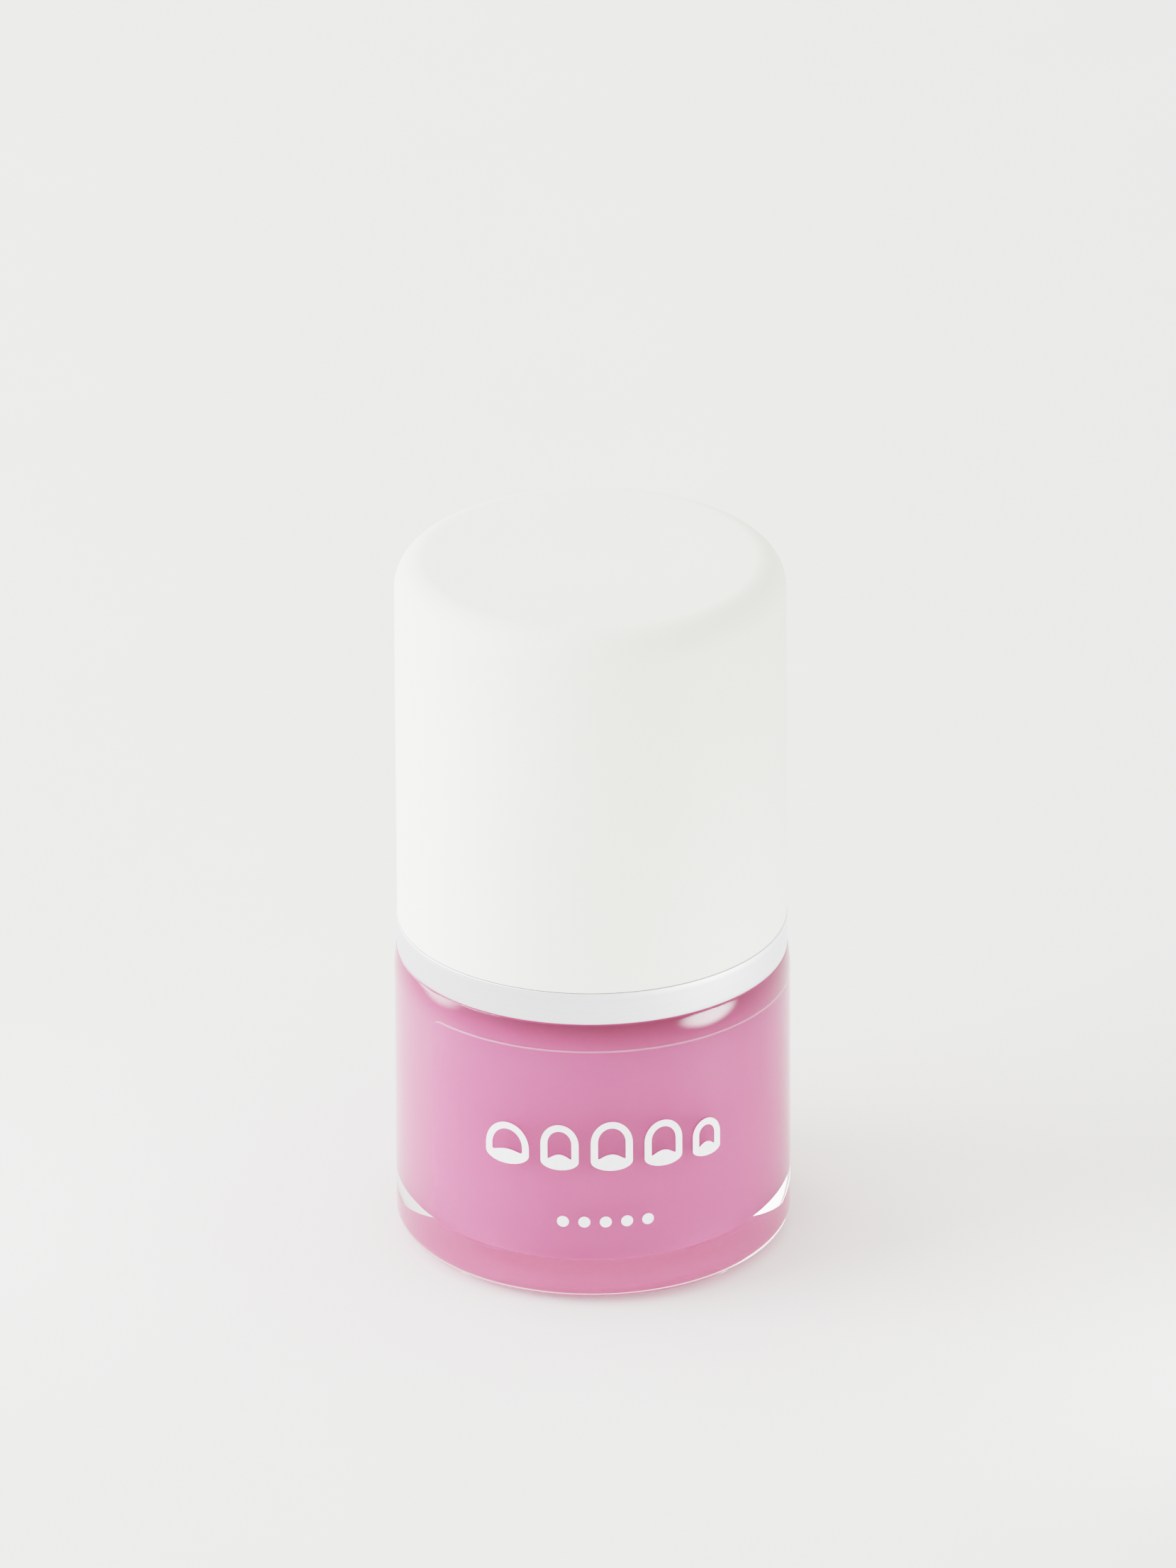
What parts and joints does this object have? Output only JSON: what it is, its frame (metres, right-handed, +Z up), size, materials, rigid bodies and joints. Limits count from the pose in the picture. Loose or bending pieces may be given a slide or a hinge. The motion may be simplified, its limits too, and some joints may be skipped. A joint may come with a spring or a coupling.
{
  "type": "nail polish bottle",
  "caption": "Round glass nail polish bottle with pink polish, a tall matt white screw cap, a silver band below it and a brush on the cap.",
  "frame": {"origin": "centre of the base, on the surface that the bottle stands on", "axes": "+Z up along the axis of the bottle and the cap; the printed face looks along -Y"},
  "size_m": [0.0281, 0.0281, 0.0516],
  "materials": {
    "clear_glass": "clear, polished",
    "clear_film": "clear gloss film",
    "pink_polish": "wet gloss cream",
    "ball_steel": "polished",
    "soft_touch_white": "matt soft-touch",
    "white_plastic": "satin moulded",
    "silver_band": "satin silver",
    "liner_foam": "matt foamed",
    "bristle_nylon": "fine filaments"
  },
  "bodies": {
    "bottle": {"glass_bottle": "clear_glass", "film_label": "clear_film", "polish_fill": "pink_polish"},
    "ball_1": {"mixing_ball_1": "ball_steel"},
    "ball_2": {"mixing_ball_2": "ball_steel"},
    "liner": {"seal_liner": "liner_foam"},
    "collar": {"collar_ring": "silver_band"},
    "cap": {"outer_cap": "soft_touch_white", "inner_cap": "white_plastic", "brush_stem": "white_plastic", "bristle_tuft": "bristle_nylon", "bristle_staple": "ball_steel"}
  },
  "joints": [
    {"name": "cap_lift_off", "type": "slide", "parent": "bottle", "child": "liner", "axis": [0, 0, 1], "range_m": [0, 0.045]},
    {"name": "cap_rise", "type": "slide", "parent": "liner", "child": "collar", "axis": [0, 0, 1], "range_m": [0, 0.00423]},
    {"name": "cap_turn", "type": "hinge", "parent": "collar", "child": "cap", "pos_m": [0, 0, 0.029], "axis": [0, 0, 1], "range_deg": [0, 720]},
    {"name": "ball_1_roll", "type": "hinge", "parent": "bottle", "child": "ball_1", "pos_m": [0, 0, 0.005], "axis": [0, 0, 1], "range_deg": [-70, 70]},
    {"name": "ball_2_roll", "type": "hinge", "parent": "bottle", "child": "ball_2", "pos_m": [0, 0, 0.005], "axis": [0, 0, 1], "range_deg": [-70, 70]}
  ],
  "couplings": [
    {"joint": "cap_rise", "follows": "cap_turn", "m_per_rad": 0.00033693}
  ]
}
